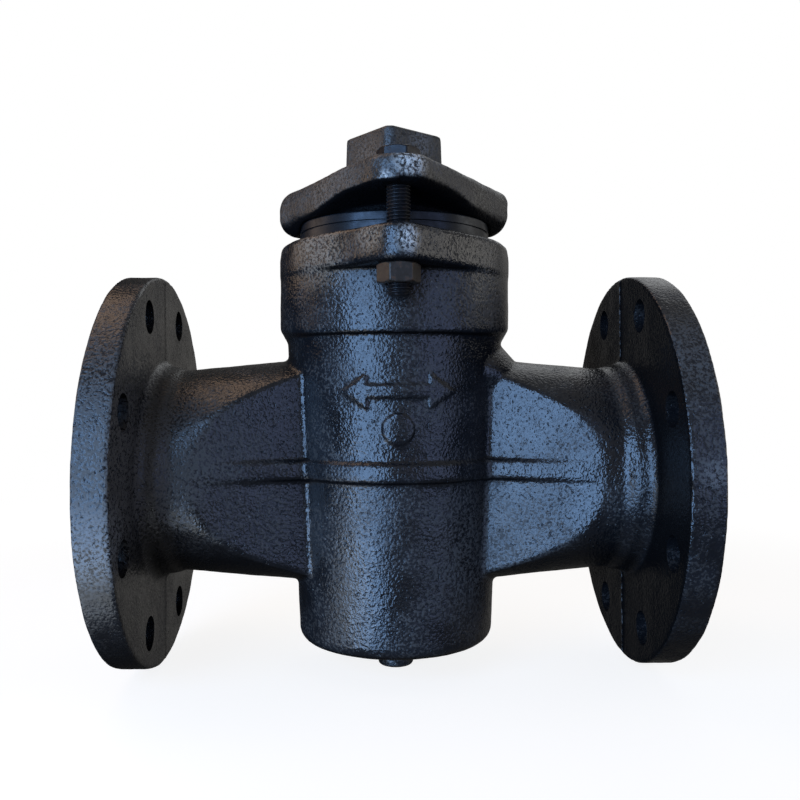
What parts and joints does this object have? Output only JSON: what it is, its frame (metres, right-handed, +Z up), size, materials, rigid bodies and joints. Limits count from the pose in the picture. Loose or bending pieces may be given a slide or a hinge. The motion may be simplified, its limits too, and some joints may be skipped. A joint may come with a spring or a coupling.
{
  "type": "plug valve",
  "caption": "Flanged straight-way plug valve: tapered plug turned by a square head, packed gland pulled down by two bolts, adjusting screw underneath.",
  "frame": {"origin": "on the plug axis, level with the lower end of the adjusting screw, which is the valve's lowest point; the flow axis crosses the plug axis 111 mm above it", "axes": "+X along the flow axis, +Z up along the plug axis towards the square head, -Y the side with the raised flow arrow"},
  "size_m": [0.3, 0.215, 0.299],
  "materials": {
    "cast_body": "black gloss paint on sand-cast iron",
    "cast_plug": "thin black paint, worn at the edges",
    "cast_gland": "black paint, worn and dusty at the edges",
    "machined_ring": "turned, dark blue-grey",
    "black_bolt": "black oxide thread",
    "painted_nut": "black paint over steel",
    "bare_steel": "turned bare steel",
    "packing": "braided graphite packing",
    "soft_washer": "annealed copper"
  },
  "bodies": {
    "body": {"valve_body": "cast_body", "packing_base_washer": "bare_steel", "packing_ring_1": "packing", "packing_ring_2": "packing", "packing_ring_3": "packing", "packing_ring_4": "packing", "gland_nut_front": "painted_nut", "gland_nut_rear": "painted_nut", "bottom_lock_nut": "painted_nut", "bottom_seal_washer": "soft_washer"},
    "gland": {"gland": "cast_gland", "gland_follower": "machined_ring"},
    "front_bolt": {"gland_bolt_front": "black_bolt"},
    "rear_bolt": {"gland_bolt_rear": "black_bolt"},
    "ball": {"thrust_ball": "bare_steel"},
    "plug": {"plug": "cast_plug"},
    "screw": {"bottom_screw": "black_bolt"}
  },
  "joints": [
    {"name": "plug_lift", "type": "slide", "parent": "body", "child": "ball", "axis": [0, 0, 1], "range_m": [0, 0.0012]},
    {"name": "plug_turn", "type": "hinge", "parent": "ball", "child": "plug", "pos_m": [0, 0, 0.111], "axis": [0, 0, 1], "continuous": true},
    {"name": "screw_turn", "type": "hinge", "parent": "ball", "child": "screw", "pos_m": [0, 0, 0.02], "axis": [0, 0, 1], "range_deg": [0, 180]},
    {"name": "gland_travel", "type": "slide", "parent": "body", "child": "gland", "axis": [0, 0, -1], "range_m": [0, 0.0065], "deforming": ["packing_ring_1", "packing_ring_2", "packing_ring_3", "packing_ring_4"]},
    {"name": "front_bolt_turn", "type": "hinge", "parent": "gland", "child": "front_bolt", "pos_m": [0, -0.075, 0.271], "axis": [0, 0, -1], "range_deg": [0, 1340]},
    {"name": "rear_bolt_turn", "type": "hinge", "parent": "gland", "child": "rear_bolt", "pos_m": [0, 0.075, 0.271], "axis": [0, 0, -1], "range_deg": [0, 1340]}
  ],
  "couplings": [
    {"joint": "screw_turn", "follows": "plug_lift", "rad_per_m": 2513.3},
    {"joint": "front_bolt_turn", "follows": "gland_travel", "rad_per_m": 3590.4},
    {"joint": "rear_bolt_turn", "follows": "gland_travel", "rad_per_m": 3590.4}
  ]
}
